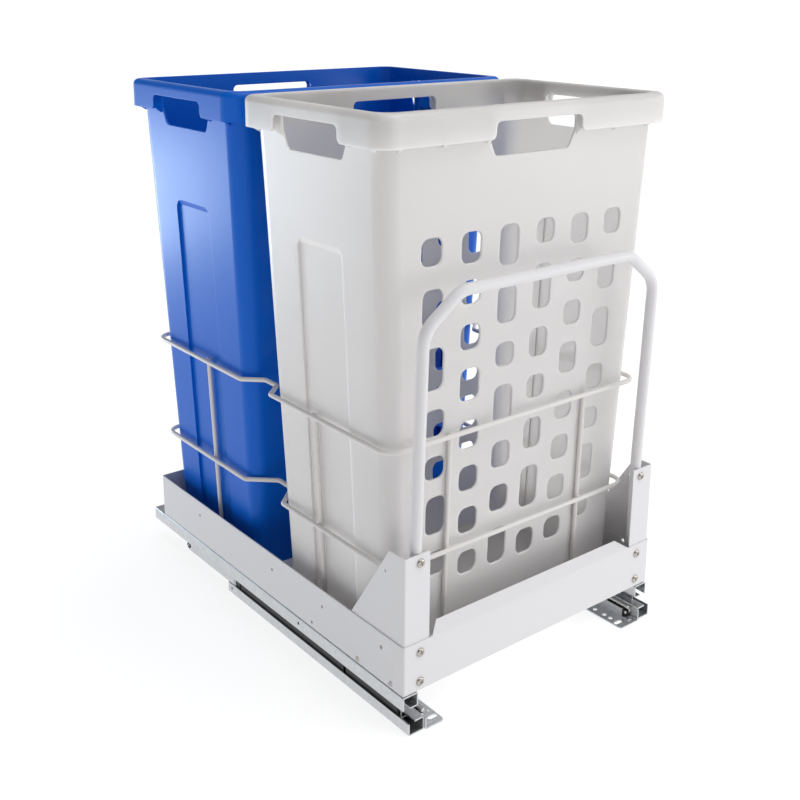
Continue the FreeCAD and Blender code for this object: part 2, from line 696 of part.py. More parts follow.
def rim_block(inset, low, top, soft):
    """Block of the rim with a rounded upper edge."""
    block = Part.Face(rounded_outline(RIM_HALF_X - inset, RIM_HALF_Y - inset, RIM_CORNER - inset, low))
    block = block.extrude(V(0, 0, top - low))
    edges = [e for e in block.Edges if e.BoundBox.ZMin > top - 0.01]
    return block.makeFillet(soft, edges)


def basket():
    """Tapered tub with recessed narrow walls, hanging rim, hand slots and openings."""
    outer = wall_block(0, BASKET_FLOOR_Z, RIM_TOP - BASKET_WALL)
    inner = wall_block(BASKET_WALL, BASKET_FLOOR_Z + BASKET_FLOOR, RIM_TOP + 1)
    outer = outer.cut([recess_tool(0, 1), recess_tool(0, -1)])
    inner = inner.cut([recess_tool(BASKET_WALL, 1), recess_tool(BASKET_WALL, -1)])
    rim = rim_block(0, RIM_LOW, RIM_TOP, RIM_ROUND)
    rim = rim.cut(rim_block(BASKET_WALL, RIM_LOW - 1, RIM_TOP - BASKET_WALL, RIM_ROUND - BASKET_WALL))
    body = outer.fuse([rim] + rim_ribs()).removeSplitter()
    body = body.cut(inner)
    body = body.cut(slot_tools(SLOT_HALF_LONG, WALL_HIGH["half_y"], False))
    body = body.cut(slot_tools(SLOT_HALF_SHORT, WALL_HIGH["half_x"], True))
    return body.cut(hole_tools())


def tray_rail():
    middle = SHEET / 2
    flange_z = -SHEET - CHANNEL - middle
    points = [(middle, -TRAY_RAIL_SKIRT), (middle, -middle), (TRAY_RAIL_WEB - middle, -middle),
              (TRAY_RAIL_WEB - middle, flange_z), (TRAY_RAIL_FLANGE_S, flange_z)]
    shape = folded(points, SHEET, BEND, 0, TRAY_RAIL_LENGTH)
    cuts = [rod(TRAY_HALF - TRAY_RIVET_S, y, -3, RIVET_R + PRESSED_FIT, 4, V(0, 0, 1)) for y in TRAY_RIVET_Y]
    hole = TRAY_RAIL_HOLE
    cuts.append(side_rod(-1, SHEET + 0.5, hole["y"], hole["z"], hole["r"]))
    return shape.cut(cuts)


def tray_rivet(y):
    x = TRAY_HALF - TRAY_RIVET_S
    shank = rod(x, y, -SHEET, RIVET_R, SHEET + TRAY_SHEET, V(0, 0, 1))
    return joined([shank, dome(V(x, y, TRAY_SHEET), V(0, 0, 1))])


def dome(foot, up):
    head = Part.makeCylinder(RIVET_HEAD_R, RIVET_HEAD_H, foot, up)
    crown = foot + up * RIVET_HEAD_H
    edge = [e for e in head.Edges if abs((e.CenterOfMass - crown).Length) < 0.01 and len(e.Vertexes) == 1]
    return head.makeFillet(RIVET_HEAD_H * 0.8, edge)


def intermediate_rail():
    middle = SHEET / 2
    upper = UPPER_HEAD_TOP - middle
    lower = LOWER_HEAD_LOW + middle
    web = MID_WEB_S + middle
    points = [(MID_UPPER_S, upper), (web, upper), (web, lower), (MID_LOWER_S, lower)]
    shape = folded(points, SHEET, BEND, MID_Y[0], MID_Y[1])
    end = BUMPER_Y + BUMPER_NOTCH
    low, high = BUMPER_Z - BUMPER_TAB, BUMPER_Z + BUMPER_TAB
    tab = side_box(MID_WEB_S, MID_WEB_S + SHEET, MID_Y[1] - 1, end, low, high)
    shape = joined([shape, tab])
    return shape.cut([side_rod(MID_WEB_S - 1, MID_WEB_S + SHEET + 1, BUMPER_Y, BUMPER_Z, BUMPER_NECK_R),
                      side_rod(MID_WEB_S - 1, MID_WEB_S + SHEET + 1, PINION_Y, PINION_Z, AXLE_R)])


def end_bumper():
    """Rubber buffer held in the open notch at the rear end of the middle rail."""
    near, far = MID_WEB_S, MID_WEB_S + SHEET
    neck = side_rod(near - BUMPER_FLANGE, far + BUMPER_FLANGE, BUMPER_Y, BUMPER_Z, BUMPER_NECK_R)
    inner = side_rod(near - BUMPER_FLANGE, near, BUMPER_Y, BUMPER_Z, BUMPER_R)
    outer = side_rod(far, far + BUMPER_FLANGE, BUMPER_Y, BUMPER_Z, BUMPER_R)
    return joined([neck, inner, outer]).cut(bumper_pin())


def bumper_pin():
    near, far = MID_WEB_S - BUMPER_FLANGE, MID_WEB_S + SHEET + BUMPER_FLANGE
    return side_rod(near, far, BUMPER_Y, BUMPER_Z, BUMPER_PIN_R)


def pinion_axle():
    near = PINION_S[0] - AXLE_PLAY
    shank = side_rod(near - AXLE_HEAD / 2, MID_WEB_S + SHEET, PINION_Y, PINION_Z, AXLE_R)
    head = side_rod(near - AXLE_HEAD, near, PINION_Y, PINION_Z, AXLE_HEAD_R)
    shoulder = side_rod(PINION_S[1] + AXLE_PLAY, MID_WEB_S, PINION_Y, PINION_Z, AXLE_HEAD_R)
    return joined([shank, head, shoulder])


def pinion():
    """Small wheel whose teeth taper from root to tip, one tooth straight up at rest."""
    tip = PINION_R + ADDENDUM
    root = PINION_R - DEDENDUM
    step = 2 * math.pi / PINION_TEETH
    root_half = step * (TOOTH_SHARE + 0.10) / 2
    tip_half = step * TIP_SHARE / 2
    pitch_half = step * TOOTH_SHARE / 2
    points = []
    for k in range(PINION_TEETH):
        a = k * step
        for r, turn in ((root, -root_half), (PINION_R, -pitch_half), (tip, -tip_half),
                        (tip, tip_half), (PINION_R, pitch_half), (root, root_half)):
            y, z = PINION_Y + r * math.sin(a + turn), PINION_Z + r * math.cos(a + turn)
            points.append(V(TRAY_HALF - PINION_S[1], y, z))
    wheel = prism(points, V(PINION_S[1] - PINION_S[0], 0, 0))
    return wheel.cut(side_rod(0, 10, PINION_Y, PINION_Z, AXLE_R + RUNNING))


def rack(s0, s1, back_z, pitch_z, first_y, up):
    """Straight rack; its spaces stand over the pinion teeth at rest."""
    root = pitch_z - up * DEDENDUM
    tip = pitch_z + up * ADDENDUM
    root_half = PITCH * (TOOTH_SHARE + 0.10) / 2
    tip_half = PITCH * TIP_SHARE / 2
    x = TRAY_HALF - s1
    points = [V(x, first_y, back_z), V(x, first_y, root)]
    for k in range(RACK_TEETH):
        y = first_y + (k + 0.5) * PITCH
        points += [V(x, y - root_half, root), V(x, y - tip_half, tip)]
        points += [V(x, y + tip_half, tip), V(x, y + root_half, root)]
    last = first_y + RACK_TEETH * PITCH
    points += [V(x, last, root), V(x, last, back_z)]
    return prism(points, V(s1 - s0, 0, 0))


def tray_rack():
    first = PINION_Y - 2 * PITCH
    return rack(TRAY_RACK_S[0], TRAY_RACK_S[1], -SHEET, PINION_Z + PINION_R, first, -1)


def cabinet_rack():
    first = PINION_Y + 2 * PITCH - RACK_TEETH * PITCH
    return rack(RACK_S[0], RACK_S[1], CABINET_FLOOR_TOP, PINION_Z - PINION_R, first, 1)


def cabinet_rail():
    middle = SHEET / 2
    wall, web = CABINET_OUTER_S + middle, CABINET_WEB_S - middle
    floor, flange = CABINET_FLOOR_TOP - middle, CABINET_FLANGE_TOP - middle
    points = [(wall, CABINET_WALL_TOP), (wall, floor), (web, floor)]
    points += [(web, flange), (CABINET_FLANGE_S, flange)]
    shape = folded(points, SHEET, BEND, CABINET_Y[0], CABINET_Y[1])
    r = RIVET_R + PRESSED_FIT
    cuts = [side_rod(CABINET_WEB_S - 3, CABINET_WEB_S + 1, y, FOOT_RIVET_Z, r) for y in FOOT_RIVET_Y]
    hole = RAIL_END_HOLE
    cuts.append(side_rod(0, CABINET_OUTER_S + SHEET + 0.4, CABINET_Y[1] - hole["back"], hole["z"], hole["r"]))
    return shape.cut(cuts)


def foot_bracket(side):
    """Angle that carries the rail: upright leaf on its web, foot on the cabinet floor."""
    middle = SHEET / 2
    wide = FOOT_WIDTH[side]
    hole_s = FOOT_HOLE_S[side]
    leaf = CABINET_WEB_S + middle
    points = [(leaf, CABINET_FLANGE_TOP - FOOT_LEAF_DROP), (leaf, CABINET_FLOOR_TOP - middle),
              (wide, CABINET_FLOOR_TOP - middle)]
    shape = folded(points, SHEET, BEND, FOOT_Y[0], FOOT_Y[1])
    corners = [e for e in shape.Edges if e.BoundBox.XMax < TRAY_HALF - wide + 0.01 and e.BoundBox.ZLength > 1]
    shape = shape.makeFillet(FOOT_CORNER, corners)
    x = TRAY_HALF - hole_s
    low = -RAIL_HEIGHT - 1
    through = SHEET + 2
    cuts = [rod(x, y, low, FOOT_HOLE_R, through, V(0, 0, 1)) for y in (FOOT_FRONT_HOLE_Y, FOOT_REAR_HOLE_Y)]
    if side == "right":
        cuts += [rod(x, y, low, FOOT_HOLE_R, through, V(0, 0, 1)) for y in RIGHT_FOOT_HOLES_Y]
    else:
        pilot = LEFT_PILOT
        cuts.append(rod(TRAY_HALF - pilot["s"], pilot["y"], low, pilot["r"], through, V(0, 0, 1)))
    reach = FOOT_SLOT_LENGTH / 2 - FOOT_HOLE_R
    y0, y1 = FOOT_SLOT_Y - FOOT_HOLE_R, FOOT_SLOT_Y + FOOT_HOLE_R
    slot = [box(x - reach, x + reach, y0, y1, low, low + through)]
    slot += [rod(x + k * reach, FOOT_SLOT_Y, low, FOOT_HOLE_R, through, V(0, 0, 1)) for k in (-1, 1)]
    cuts.append(joined(slot))
    r = RIVET_R + PRESSED_FIT
    cuts += [side_rod(CABINET_WEB_S - 1, CABINET_WEB_S + 3, y, FOOT_RIVET_Z, r) for y in FOOT_RIVET_Y]
    return shape.cut(cuts)


def foot_rivet(y):
    inner = CABINET_WEB_S - SHEET
    outer = CABINET_WEB_S + SHEET
    shank = side_rod(inner, outer, y, FOOT_RIVET_Z, RIVET_R)
    return joined([shank, dome(V(TRAY_HALF - outer, y, FOOT_RIVET_Z), V(-1, 0, 0))])


def cage(y, half, count, spine, level):
    """Two pocket strips joined by a thin spine, riding on both sides of a rail head."""
    offset = (ROLLER_D + SHEET) / 2 + RUNNING
    s1 = spine - CAGE_SPINE
    s0 = s1 - CAGE_WIDTH + 0.1
    half_thick = CAGE_THICK / 2
    low, high = level - offset - half_thick, level + offset + half_thick
    parts = [side_box(s1 - 0.05, spine, y - half, y + half, low, high)]
    for sign in (-1, 1):
        z = level + sign * offset
        parts.append(side_box(s0, s1, y - half, y + half, z - half_thick, z + half_thick))
    cuts = []
    for roller_y in roller_rows(y, count):
        reach = ROLLER_D / 2 + POCKET_GAP
        side = (s0 + s1) / 2
        wide = ROLLER_LENGTH / 2 + POCKET_GAP
        for sign in (-1, 1):
            z = level + sign * offset
            cuts.append(side_box(side - wide, side + wide, roller_y - reach, roller_y + reach, z - 2, z + 2))
    return joined(parts).cut(cuts)


def roller_rows(y, count):
    return [y + (k - (count - 1) / 2) * ROLLER_PITCH for k in range(count)]


def rollers(y, half, count, spine, level):
    offset = (ROLLER_D + SHEET) / 2 + RUNNING
    s1 = spine - CAGE_SPINE
    side = s1 - (CAGE_WIDTH - 0.1) / 2
    near, far = side - ROLLER_LENGTH / 2, side + ROLLER_LENGTH / 2
    solids = []
    for roller_y in roller_rows(y, count):
        for sign in (-1, 1):
            solids.append(side_rod(near, far, roller_y, level + sign * offset, ROLLER_D / 2))
    return group(solids)


def soft_close_unit():
    """Damper housing with a slot for the pin, and its low carrier that runs to the front."""
    shape = side_box(UNIT_S[0], UNIT_S[1], UNIT_Y[0], UNIT_Y[1], CABINET_FLOOR_TOP, UNIT_TOP)
    long_edges = [e for e in shape.Edges if e.BoundBox.YLength > 50 and e.BoundBox.ZMin > UNIT_TOP - 0.1]
    shape = shape.makeFillet(1.5, long_edges)
    carrier = side_box(*CARRIER_S, CARRIER_Y[0], CARRIER_Y[1] + 1, CABINET_FLOOR_TOP, CARRIER_TOP)
    middle = (UNIT_S[0] + UNIT_S[1]) / 2
    near, far = middle - UNIT_SLOT / 2, middle + UNIT_SLOT / 2
    slot = side_box(near, far, UNIT_Y[0] - 1, UNIT_SLOT_Y, UNIT_SLOT_LOW, UNIT_TOP + 1)
    shape = joined([shape, carrier]).cut(slot)
    return shape.cut([damper_rod(**ROD_UPPER, grow=ROD_SOCKET), damper_rod(**ROD_LOWER, grow=ROD_SOCKET)])


def damper_rod(s, z, front, grow=0.0):
    """Steel rod with a softly rounded front end, or the socket for it."""
    shape = rod(TRAY_HALF - s, front, z, ROD_R + grow, ROD_BACK_Y - front, V(0, 1, 0))
    if grow:
        return shape
    nose = [e for e in shape.Edges if e.BoundBox.YMax < front + 0.01]
    return shape.makeFillet(ROD_NOSE, nose)


def damper_rods():
    return group([damper_rod(**ROD_UPPER), damper_rod(**ROD_LOWER)])


def unit_cover():
    """Steel side cover of the carrier with two lengthwise ridges and a lip toward the front."""
    s0 = CARRIER_S[1]
    s1 = s0 + COVER_SHEET
    parts = [side_box(s0, s1, COVER_Y[0], COVER_Y[1], CABINET_FLOOR_TOP, COVER_TOP)]
    parts += [rod(TRAY_HALF - s1 + 0.2, COVER_Y[0], z, COVER_RIDGE_R, COVER_Y[1] - COVER_Y[0], V(0, 1, 0))
              for z in COVER_RIDGES_Z]
    floor = CABINET_FLOOR_TOP
    parts.append(side_box(CARRIER_S[0], s1, COVER_LIP_Y, CARRIER_Y[0], floor, floor + COVER_SHEET))
    behind = side_box(CARRIER_S[0] - 1, s0, CARRIER_Y[0], COVER_Y[1] + 1, floor - 1, COVER_TOP + 1)
    return joined(parts).cut(behind)


def catch():
    middle = (UNIT_S[0] + UNIT_S[1]) / 2
    half = UNIT_SLOT / 2 - CATCH_GAP
    y0, y1 = CATCH_PIN_Y - CATCH_HALF, CATCH_PIN_Y + CATCH_HALF
    return side_box(middle - half, middle + half, y0, y1, UNIT_SLOT_LOW, CATCH_TOP)


def catch_pin():
    middle = (UNIT_S[0] + UNIT_S[1]) / 2
    y0, y1 = (CATCH_PIN_Y + reach for reach in CATCH_PLATE)
    plate = side_box(TRAY_RAIL_WEB + CATCH_PLATE_GAP, middle + CATCH_PLATE[1] / 2, y0, y1, -SHEET, 0)
    pin = rod(TRAY_HALF - middle, CATCH_PIN_Y, CATCH_PIN_LOW, CATCH_PIN_R, -SHEET - CATCH_PIN_LOW, V(0, 0, 1))
    return joined([plate, pin])


# Tray, brackets, handle and guard wires
keep("tray", tray())
keep_pair("corner_bracket", corner_bracket())
keep("handle", handle())
handle_x = TRAY_HALF - HANDLE_S
flange_screw = pan_screw(handle_x, TRAY_SHEET, FLANGE_SCREW_Z)
keep("handle_screws", group([flange_screw, mirrored(flange_screw)]))
front_screws = [pan_screw(handle_x, 0, z) for z in FRONT_SCREW_Z]
keep("front_wall_screws", group(front_screws + [mirrored(s) for s in front_screws]))
side_screws = [flat_screw(y, z) for y, z in FLAT_SCREWS]
keep("bracket_side_screws", group(side_screws + [mirrored(s) for s in side_screws]))
keep("upper_guard_ring", guard_ring(**UPPER_RING))
keep("lower_guard_ring", guard_ring(**LOWER_RING))
keep("guard_uprights", uprights())

# Baskets, two of the same
tub = basket()
for basket_node, basket_y in zip(("white_basket", "blue_basket"), BASKET_Y):
    placed = tub.copy()
    placed.translate(V(0, basket_y, 0))
    keep(basket_node, placed)

# Rails carried by the tray
keep_pair("tray_rail", tray_rail())
tray_rivets = [tray_rivet(y) for y in TRAY_RIVET_Y]
keep("tray_rail_rivets", group(tray_rivets + [mirrored(r) for r in tray_rivets]))
keep_pair("tray_rack", tray_rack())
keep_pair("catch_pin", catch_pin())

# Middle rails with their pinions, bumpers and roller cages
keep_pair("intermediate_rail", intermediate_rail())
keep_pair("end_bumper", end_bumper())
keep_pair("bumper_pin", bumper_pin())
keep_pair("pinion_axle", pinion_axle())
keep_pair("pinion", pinion())
keep_pair("upper_cage", cage(**UPPER_CAGE))
keep_pair("upper_rollers", rollers(**UPPER_CAGE))
keep_pair("lower_cage", cage(**LOWER_CAGE))
keep_pair("lower_rollers", rollers(**LOWER_CAGE))

# Rails and feet fixed to the cabinet floor
keep_pair("cabinet_rail", cabinet_rail())
keep("right_foot_bracket", foot_bracket("right"))
keep("left_foot_bracket", mirrored(foot_bracket("left")))
foot_rivets = [foot_rivet(y) for y in FOOT_RIVET_Y]
keep("foot_rivets", group(foot_rivets + [mirrored(r) for r in foot_rivets]))
keep_pair("cabinet_rack", cabinet_rack())
keep_pair("front_guide", side_box(*RACK_S, *GUIDE_Y, CABINET_FLOOR_TOP, GUIDE_TOP))
keep_pair("rear_stop", side_box(*RACK_S, *REAR_STOP_Y, CABINET_FLOOR_TOP, GUIDE_TOP))
keep_pair("soft_close_unit", soft_close_unit())
keep_pair("unit_cover", unit_cover())
keep_pair("damper_rods", damper_rods())
keep_pair("catch", catch())

# Write every piece with the middle of the footprint over the origin and the feet on Z = 0
middle_y = (FOOT_Y[0] + TRAY_RAIL_LENGTH) / 2
for node, shape in made.items():
    shape.translate(V(0, -middle_y, RAIL_HEIGHT))
    shape.exportStep("parts/" + node + ".step")
    print(node, len(shape.Solids), shape.isValid(), shape.BoundBox, round(shape.Volume, 1))
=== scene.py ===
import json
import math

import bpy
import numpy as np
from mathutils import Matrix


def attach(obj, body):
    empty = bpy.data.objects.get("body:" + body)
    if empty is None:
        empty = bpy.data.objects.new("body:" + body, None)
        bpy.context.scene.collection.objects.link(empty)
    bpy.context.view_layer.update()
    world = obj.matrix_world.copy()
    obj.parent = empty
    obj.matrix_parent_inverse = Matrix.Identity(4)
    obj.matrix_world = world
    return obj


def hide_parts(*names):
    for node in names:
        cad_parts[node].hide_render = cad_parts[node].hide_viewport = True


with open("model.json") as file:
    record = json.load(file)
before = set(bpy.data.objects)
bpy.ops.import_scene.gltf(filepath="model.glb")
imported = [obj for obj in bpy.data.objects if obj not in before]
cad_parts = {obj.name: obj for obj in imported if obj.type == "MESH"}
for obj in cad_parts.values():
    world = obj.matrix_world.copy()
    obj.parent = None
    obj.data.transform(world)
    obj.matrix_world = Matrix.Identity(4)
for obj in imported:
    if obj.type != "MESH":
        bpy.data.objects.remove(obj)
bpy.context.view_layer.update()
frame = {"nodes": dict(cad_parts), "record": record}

# %% [markdown]
# # A pull-out laundry unit, dressed over its CAD frame
# The frame above is the real construction: a folded steel tray, two wire guards, a U handle,
# two lift-out baskets and a pair of roller slides. This file gives that construction its looks.
# Round things that the eye follows closely, such as wires and screw heads, are made again here as
# smooth surfaces worked out with numpy. Folded sheet and moulded parts keep their CAD solids and
# get a finish. All lengths are metres, Z is up and the handle faces -Y.

mm = 0.001

# %% [markdown]
# ## Where the unit stands
# The drawing of the unit measures from the front edge and the underside of the tray, which is handy in the
# workshop. The frame has its origin on the floor, under the middle of the unit. One function moves
# points from the drawing to the frame, so every number below can be read off the real tray.

# %% From the drawing to the frame
front_to_middle = 258.0
floor_to_tray = 39.0


def in_frame(points):
    """(x, y, z) in mm from the tray's front and underside becomes (x, y - 258, z + 39) in metres."""
    return (np.array(points, float) + (0.0, -front_to_middle, floor_to_tray)) * mm


print("tray's front edge in mm:", (in_frame((0, 0, 0)) / mm).tolist())

# %% [markdown]
# ## Colours and nodes
# A painter names a colour as it looks on a screen, in sRGB hex. The shader wants linear light, so
# one function does that conversion for every finish. A second one adds a shader node with its
# settings and its links, so that a material reads as a short list of what feeds what.

# %% Colour and node helpers
def linear(hex_code):
    """sRGB to linear light: c / 12.92 below 0.04045, otherwise ((c + 0.055) / 1.055) ** 2.4."""
    c = np.array([int(hex_code[k:k + 2], 16) for k in (1, 3, 5)]) / 255
    light = np.where(c <= 0.04045, c / 12.92, ((c + 0.055) / 1.055) ** 2.4)
    return (*light.tolist(), 1.0)


def add(tree, kind, settings=(), values=(), links=()):
    """Adds one node: settings are its own options, values fill sockets, links join sockets."""
    made = tree.nodes.new(kind)
    for name, value in dict(settings).items():
        setattr(made, name, value)
    for name, value in dict(values).items():
        made.inputs[name].default_value = value
    for name, source in dict(links).items():
        tree.links.new(source, made.inputs[name])
    return made


def new_finish(name):
    """An empty node material with its output, its shader and the place in the part."""
    material = bpy.data.materials.new(name)
    material.use_nodes = True
    tree = material.node_tree
    tree.nodes.clear()
    output = add(tree, "ShaderNodeOutputMaterial")
    shader = add(tree, "ShaderNodeBsdfPrincipled")
    tree.links.new(shader.outputs["BSDF"], output.inputs["Surface"])
    place = add(tree, "ShaderNodeTexCoord").outputs["Object"]
    return material, tree, shader, place


print("mid grey #808080 in linear light:", round(linear("#808080")[0], 3))

# %% [markdown]
# ## White powder coat
# The tray, its corner brackets and the handle are steel sprayed with dry powder and baked. It melts
# into a thick, even skin with a faint orange peel about 1.5 mm from hill to hill and a low sheen.
# A noise bump at that spacing gives the peel, a bevel node rounds the shading of cut edges as the thick
# paint does, and a second slow noise lets the sheen wander a little. The wire guards are dipped, which
# gives a thicker, slightly warmer and glossier coat.

# %% Powder coat
def powder_coat(name, hex_code, roughness, peel, edge):
    """Paint over steel: peel is the spacing of its hills and edge the rounding of cut edges."""
    material, tree, shader, place = new_finish(name)
    rounded = add(tree, "ShaderNodeBevel", {"samples": 6}, {"Radius": edge})
    hills = add(tree, "ShaderNodeTexNoise", {}, {"Scale": 1 / peel, "Detail": 2.0, "Roughness": 0.45},
                {"Vector": place})
    skin = add(tree, "ShaderNodeBump", {}, {"Strength": 0.10, "Distance": 0.04 * mm},
               {"Height": hills.outputs["Fac"], "Normal": rounded.outputs["Normal"]})
    drift = add(tree, "ShaderNodeTexNoise", {}, {"Scale": 22.0, "Detail": 3.0}, {"Vector": place})
    sheen = add(tree, "ShaderNodeMapRange", {}, {"To Min": roughness - 0.05, "To Max": roughness + 0.05},
                {"Value": drift.outputs["Fac"]})
    tree.links.new(skin.outputs["Normal"], shader.inputs["Normal"])
    tree.links.new(sheen.outputs["Result"], shader.inputs["Roughness"])
    shader.inputs["Base Color"].default_value = linear(hex_code)
    shader.inputs["IOR"].default_value = 1.5
    return material


tray_paint = powder_coat("white_powder_coat_steel", "#DBDADC", roughness=0.38, peel=1.5 * mm, edge=0.6 * mm)
wire_paint = powder_coat("white_coated_wire", "#DAD7D5", roughness=0.34, peel=2.0 * mm, edge=0.3 * mm)
print("paints:", tray_paint.name, "and", wire_paint.name)

# %% [markdown]
# ## Moulded baskets
# The baskets are injection-moulded polypropylene with a wall of 2.2 mm. White polypropylene is
# translucent: light scatters in the wall and comes out on its other side, so the inside of the
# white basket is bright. The blue one is pigmented all through, which stops most of that and keeps its
# shaded faces strong in colour. The face is satin from the etched mould, and corners are soft. The fine
# etching is about 0.4 mm; it is drawn at 0.8 mm so that it can show.

# %% Moulded polypropylene
def moulded_plastic(name, hex_code, roughness, share, depth, shine):
    """Satin plastic: share of the light enters it and travels about depth, shine is its gloss."""
    material, tree, shader, place = new_finish(name)
    rounded = add(tree, "ShaderNodeBevel", {"samples": 6}, {"Radius": 1.0 * mm})
    etch = add(tree, "ShaderNodeTexNoise", {}, {"Scale": 1 / (0.8 * mm), "Detail": 2.0}, {"Vector": place})
    skin = add(tree, "ShaderNodeBump", {}, {"Strength": 0.12, "Distance": 0.03 * mm},
               {"Height": etch.outputs["Fac"], "Normal": rounded.outputs["Normal"]})
    flow = add(tree, "ShaderNodeTexNoise", {}, {"Scale": 9.0, "Detail": 1.0}, {"Vector": place})
    sheen = add(tree, "ShaderNodeMapRange", {"clamp": False},
                {"To Min": roughness - 0.04, "To Max": roughness + 0.04}, {"Value": flow.outputs["Fac"]})
    tree.links.new(skin.outputs["Normal"], shader.inputs["Normal"])
    tree.links.new(sheen.outputs["Result"], shader.inputs["Roughness"])
    shader.inputs["Base Color"].default_value = linear(hex_code)
    shader.inputs["IOR"].default_value = 1.49
    shader.inputs["Specular IOR Level"].default_value = shine
    shader.inputs["Subsurface Weight"].default_value = share
    shader.inputs["Subsurface Radius"].default_value = (1.0, 1.0, 1.0)
    shader.inputs["Subsurface Scale"].default_value = depth
    return material


white_plastic = moulded_plastic("white_moulded_polypropylene", "#DDDAD8", roughness=0.36,
                                share=1.0, depth=12.0 * mm, shine=0.5)
blue_plastic = moulded_plastic("blue_moulded_polypropylene", "#0062CC", roughness=0.33,
                               share=0.3, depth=3.0 * mm, shine=0.2)
print("plastics:", white_plastic.name, "and", blue_plastic.name)

# %% [markdown]
# ## Galvanised sheet of the slides
# The rails are cold-rolled sheet dipped in zinc. Zinc freezes in flat crystals, the spangle, each with
# its own shine, here about 4 mm across: a Voronoi pattern gives every crystal its own tone. The rolling
# leaves faint lines along the rail, which runs in Y, so a noise stretched along Y wanders the roughness.

# %% Galvanised sheet
def galvanised_sheet(name, hex_light, hex_dark, roughness):
    """Zinc on steel: the tone goes from dark to light by crystal, the sheen by crystal and rolling line."""
    material, tree, shader, place = new_finish(name)
    rounded = add(tree, "ShaderNodeBevel", {"samples": 6}, {"Radius": 0.3 * mm})
    crystals = add(tree, "ShaderNodeTexVoronoi", {}, {"Scale": 1 / (4 * mm)}, {"Vector": place})
    single = add(tree, "ShaderNodeSeparateColor", links={"Color": crystals.outputs["Color"]})
    tone = add(tree, "ShaderNodeMix", {"data_type": "RGBA"},
               {"A": linear(hex_dark), "B": linear(hex_light)}, {"Factor": single.outputs["Red"]})
    along = add(tree, "ShaderNodeMapping", {}, {"Scale": (1.0, 0.02, 1.0)}, {"Vector": place})
    lines = add(tree, "ShaderNodeTexNoise", {}, {"Scale": 1 / (0.8 * mm), "Detail": 3.0},
                {"Vector": along.outputs["Vector"]})
    both = add(tree, "ShaderNodeMath", {"operation": "MULTIPLY_ADD"}, {1: 0.6},
               {0: lines.outputs["Fac"], 2: single.outputs["Green"]})
    sheen = add(tree, "ShaderNodeMapRange", {},
                {"From Max": 1.6, "To Min": roughness - 0.07, "To Max": roughness + 0.10},
                {"Value": both.outputs["Value"]})
    skin = add(tree, "ShaderNodeBump", {}, {"Strength": 0.08, "Distance": 0.03 * mm},
               {"Height": lines.outputs["Fac"], "Normal": rounded.outputs["Normal"]})
    tree.links.new(tone.outputs["Result"], shader.inputs["Base Color"])
    tree.links.new(sheen.outputs["Result"], shader.inputs["Roughness"])
    tree.links.new(skin.outputs["Normal"], shader.inputs["Normal"])
    shader.inputs["Metallic"].default_value = 1.0
    return material


slide_steel = galvanised_sheet("galvanised_rail_sheet", "#CFD1D3", "#C6C8CA", roughness=0.36)
print("sheet:", slide_steel.name)

# %% [markdown]
# ## Bright steel and zinc-plated screws
# Pins, rivets and rollers are turned from bright steel. The tool leaves fine marks, so a small
# noise wanders the roughness and the highlights break up a little. The screws are zinc plated, darker in
# tone with a harder shine.

# %% Turned steel
def turned_steel(name, hex_code, roughness):
    """Bright metal whose roughness wanders with the tool marks."""
    material, tree, shader, place = new_finish(name)
    rounded = add(tree, "ShaderNodeBevel", {"samples": 6}, {"Radius": 0.2 * mm})
    marks = add(tree, "ShaderNodeTexNoise", {}, {"Scale": 1 / (0.5 * mm), "Detail": 2.0}, {"Vector": place})
    sheen = add(tree, "ShaderNodeMapRange", {}, {"To Min": roughness - 0.05, "To Max": roughness + 0.06},
                {"Value": marks.outputs["Fac"]})
    tree.links.new(sheen.outputs["Result"], shader.inputs["Roughness"])
    tree.links.new(rounded.outputs["Normal"], shader.inputs["Normal"])
    shader.inputs["Base Color"].default_value = linear(hex_code)
    shader.inputs["Metallic"].default_value = 1.0
    return material


pin_steel = turned_steel("turned_bright_steel", "#D0CFCD", roughness=0.20)
screw_zinc = turned_steel("zinc_plated_screw", "#B4AFAA", roughness=0.18)
print("metals:", pin_steel.name, "and", screw_zinc.name)

# %% [markdown]
# ## Black nylon and rubber
# Cages, racks and guides are black moulded nylon, dry and slightly uneven. The buffer at the end of
# each middle rail is rubber, duller still. Black is never zero: a little grey keeps the form readable.

# %% Black moulded nylon and rubber
def black_moulding(name, hex_code, roughness):
    """Dull black moulding with the fine grain of its mould."""
    material, tree, shader, place = new_finish(name)
    rounded = add(tree, "ShaderNodeBevel", {"samples": 6}, {"Radius": 0.25 * mm})
    grain = add(tree, "ShaderNodeTexNoise", {}, {"Scale": 1 / (0.7 * mm), "Detail": 2.0}, {"Vector": place})
    skin = add(tree, "ShaderNodeBump", {}, {"Strength": 0.25, "Distance": 0.04 * mm},
               {"Height": grain.outputs["Fac"], "Normal": rounded.outputs["Normal"]})
    tree.links.new(skin.outputs["Normal"], shader.inputs["Normal"])
    shader.inputs["Base Color"].default_value = linear(hex_code)
    shader.inputs["Roughness"].default_value = roughness
    shader.inputs["IOR"].default_value = 1.53
    return material


nylon = black_moulding("black_moulded_nylon", "#1B1C1D", roughness=0.46)
rubber = black_moulding("black_rubber", "#131313", roughness=0.75)
print("black mouldings:", nylon.name, "and", rubber.name)

# %% [markdown]
# ## Dressing the CAD solids
# Every CAD solid that stays visible takes the finish of its material slot, which the record of the
# part names. A table from slot to finish does it for all of them at once.

